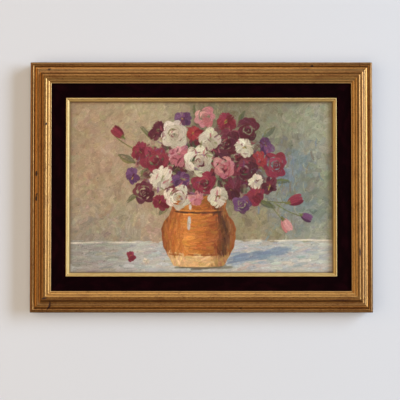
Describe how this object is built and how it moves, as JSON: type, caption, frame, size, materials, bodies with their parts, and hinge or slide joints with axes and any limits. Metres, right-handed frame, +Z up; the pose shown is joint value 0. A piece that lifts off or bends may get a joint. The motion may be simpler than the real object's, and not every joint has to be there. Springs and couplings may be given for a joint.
{
  "type": "framed oil painting",
  "caption": "Flower still life in oils on a keyed stretcher, in a gilt fillet, dark red velvet liner and worn reeded gilt frame, with a toothed hanger.",
  "frame": {"origin": "middle of the flat rear face of the hanger's raised bridge, where the picture hangs", "axes": "+Y out of the back to the wall, +X to the viewer's right, +Z up; the picture faces -Y"},
  "size_m": [0.5242, 0.0353, 0.3832],
  "materials": {
    "gilt": "worn gilding over reddish brown bole on wood, satin",
    "bright_gilt": "bright gilding on wood, satin",
    "velvet": "very dark wine red velvet over wood, matte",
    "oil_paint": "oil paint in thick strokes on primed linen, satin",
    "pine": "bare pine, planed",
    "beech": "bare beech, sawn",
    "steel": "dull zinc-plated steel",
    "brass": "dull brass-plated steel"
  },
  "bodies": {
    "root": {"frame_rail_top": "gilt", "frame_rail_right": "gilt", "frame_rail_bottom": "gilt", "frame_rail_left": "gilt", "velvet_liner_top": "velvet", "velvet_liner_right": "velvet", "velvet_liner_bottom": "velvet", "velvet_liner_left": "velvet", "sight_fillet_top": "bright_gilt", "sight_fillet_right": "bright_gilt", "sight_fillet_bottom": "bright_gilt", "sight_fillet_left": "bright_gilt", "stretcher_bar_top": "pine", "stretcher_bar_right": "pine", "stretcher_bar_bottom": "pine", "stretcher_bar_left": "pine", "stretcher_key_top_left": "beech", "stretcher_key_top_right": "beech", "stretcher_key_right_upper": "beech", "stretcher_key_right_lower": "beech", "stretcher_key_bottom_left": "beech", "stretcher_key_bottom_right": "beech", "stretcher_key_left_upper": "beech", "stretcher_key_left_lower": "beech", "painted_canvas": "oil_paint", "retaining_plate_left_upper": "steel", "plate_screw_left_upper": "steel", "retaining_plate_left_lower": "steel", "plate_screw_left_lower": "steel", "retaining_plate_right_upper": "steel", "plate_screw_right_upper": "steel", "retaining_plate_right_lower": "steel", "plate_screw_right_lower": "steel", "hanger": "brass", "hanger_nail_left": "steel", "hanger_nail_right": "steel"}
  },
  "joints": []
}
